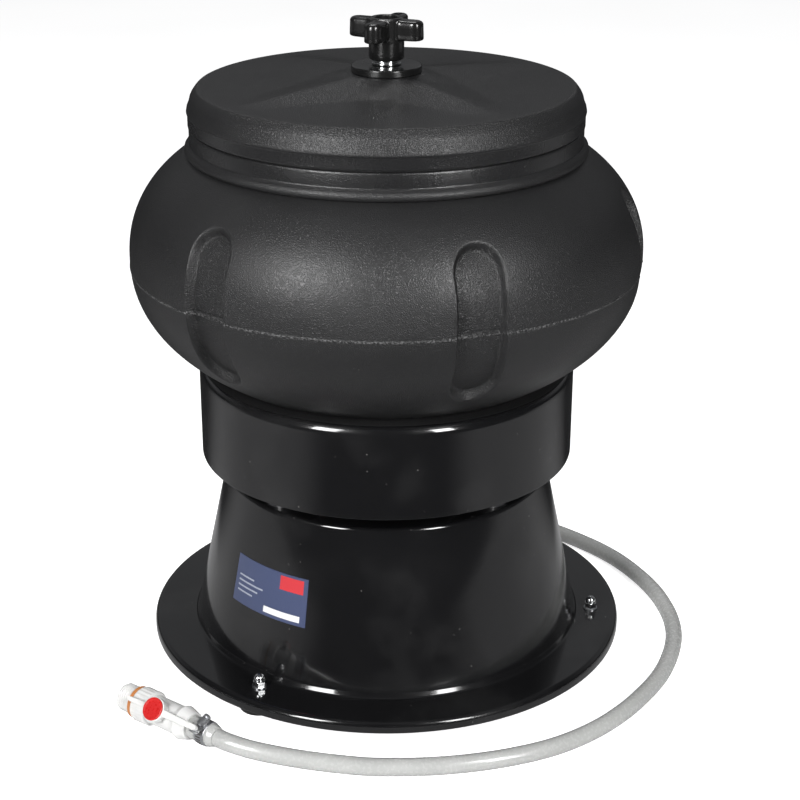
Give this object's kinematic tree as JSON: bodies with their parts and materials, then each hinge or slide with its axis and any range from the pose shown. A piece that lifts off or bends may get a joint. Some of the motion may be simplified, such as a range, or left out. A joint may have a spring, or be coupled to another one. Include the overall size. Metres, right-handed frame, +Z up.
{
  "type": "vibratory rock tumbler",
  "caption": "Bench vibratory tumbler: round grained bowl with a star-topped screw-down lid on a sprung drum, cone base with feet, and a drain hose with a quarter-turn valve.",
  "frame": {"origin": "on the floor at the centre of the base, under the axis of the bowl", "axes": "+Z up along the axis of bowl, drum and cone; +Y to the back, where hose and mains lead enter; the front faces -Y"},
  "size_m": [0.4038, 0.4495, 0.4519],
  "materials": {
    "gloss_black_paint": "gloss",
    "black_polyethylene": "satin, fine leather grain",
    "black_rubber": "matt",
    "zinc_steel": "satin zinc",
    "bright_nut": "bright",
    "spring_steel": "satin",
    "seat_paint": "satin",
    "cover_paint": "satin",
    "milky_hose": "translucent, soft gloss",
    "white_nylon": "soft gloss",
    "red_plastic": "soft gloss",
    "amber_seal": "matt",
    "phenolic_black": "gloss",
    "black_nylon": "satin",
    "plate_print": "printed film",
    "cast_aluminium": "cast",
    "lamination_steel": "dull",
    "copper_wire": "varnished wire",
    "weight_iron": "rough",
    "capacitor_can": "drawn",
    "terminal_plastic": "satin"
  },
  "bodies": {
    "base": {"base_housing": "gloss_black_paint", "base_deck": "gloss_black_paint", "base_flange": "gloss_black_paint", "bottom_cover": "cover_paint", "rubber_feet": "black_rubber", "foot_bolts": "zinc_steel", "foot_washers": "zinc_steel", "acorn_nuts": "bright_nut", "lower_spring_seats": "seat_paint", "springs": "spring_steel", "rating_label": "plate_print", "cable_gland": "black_nylon", "gland_nut": "black_nylon", "switch_bezel": "black_nylon", "hose_grommet": "black_rubber", "capacitor": "capacitor_can", "capacitor_clip": "zinc_steel", "terminal_block": "terminal_plastic", "inner_hose": "milky_hose", "drain_hose": "milky_hose", "hose_cuff": "milky_hose", "hose_clamp": "zinc_steel", "clamp_screw": "zinc_steel", "valve_body": "white_nylon", "valve_seal": "amber_seal"},
    "sprung_unit": {"drum": "gloss_black_paint", "upper_spring_seats": "seat_paint", "motor_bracket": "seat_paint", "bracket_screws": "zinc_steel", "motor_upper_bell": "cast_aluminium", "motor_lower_bell": "cast_aluminium", "stator": "lamination_steel", "windings": "copper_wire", "motor_screws": "zinc_steel", "motor_bearings": "bright_nut", "bowl": "black_polyethylene", "bowl_column": "black_polyethylene", "center_stud": "zinc_steel", "stud_nuts": "zinc_steel", "stud_washers": "zinc_steel", "drain_fitting": "white_nylon", "drain_nut": "white_nylon", "drain_strainer": "zinc_steel"},
    "rotor": {"rotor_core": "lamination_steel", "motor_shaft": "spring_steel", "upper_weight": "weight_iron", "lower_weight": "weight_iron", "cooling_fan": "black_nylon", "weight_screws": "zinc_steel"},
    "lid_unit": {"lid": "black_polyethylene", "lid_seal": "black_rubber", "lid_washer": "black_rubber"},
    "collar_unit": {"knob_collar": "bright_nut"},
    "knob_unit": {"clamp_knob": "phenolic_black", "knob_insert": "zinc_steel"},
    "rocker_unit": {"switch_rocker": "red_plastic"},
    "lever_unit": {"valve_lever": "white_nylon", "lever_cap": "red_plastic", "valve_ball": "white_nylon"}
  },
  "joints": [
    {"name": "bounce", "type": "slide", "parent": "base", "child": "sprung_unit", "axis": [0, 0, 1], "range_m": [-0.006, 0.004], "stiffness_N_per_m": 30000, "springref_m": 0.00306, "deforming": ["springs", "inner_hose"]},
    {"name": "rotor_spin", "type": "hinge", "parent": "sprung_unit", "child": "rotor", "pos_m": [0, 0, 0.13], "axis": [0, 0, 1], "continuous": true},
    {"name": "lid_lift", "type": "slide", "parent": "sprung_unit", "child": "lid_unit", "axis": [0, 0, 1], "range_m": [0, 0.1]},
    {"name": "knob_rise", "type": "slide", "parent": "lid_unit", "child": "collar_unit", "axis": [0, 0, 1], "range_m": [0, 0.021]},
    {"name": "knob_turn", "type": "hinge", "parent": "collar_unit", "child": "knob_unit", "pos_m": [0, 0, 0.43], "axis": [0, 0, 1], "range_deg": [0, 5040]},
    {"name": "switch_rock", "type": "hinge", "parent": "base", "child": "rocker_unit", "pos_m": [0.05328, 0.11967, 0.062], "axis": [0.9135, -0.4067, 0], "range_deg": [0, 16]},
    {"name": "valve_turn", "type": "hinge", "parent": "base", "child": "lever_unit", "pos_m": [-0.15472, -0.16561, 0.0212], "axis": [-0.4674, -0.6069, 0.6428], "range_deg": [0, 90]}
  ],
  "couplings": [
    {"joint": "knob_turn", "follows": "knob_rise", "rad_per_m": 4188.8}
  ]
}
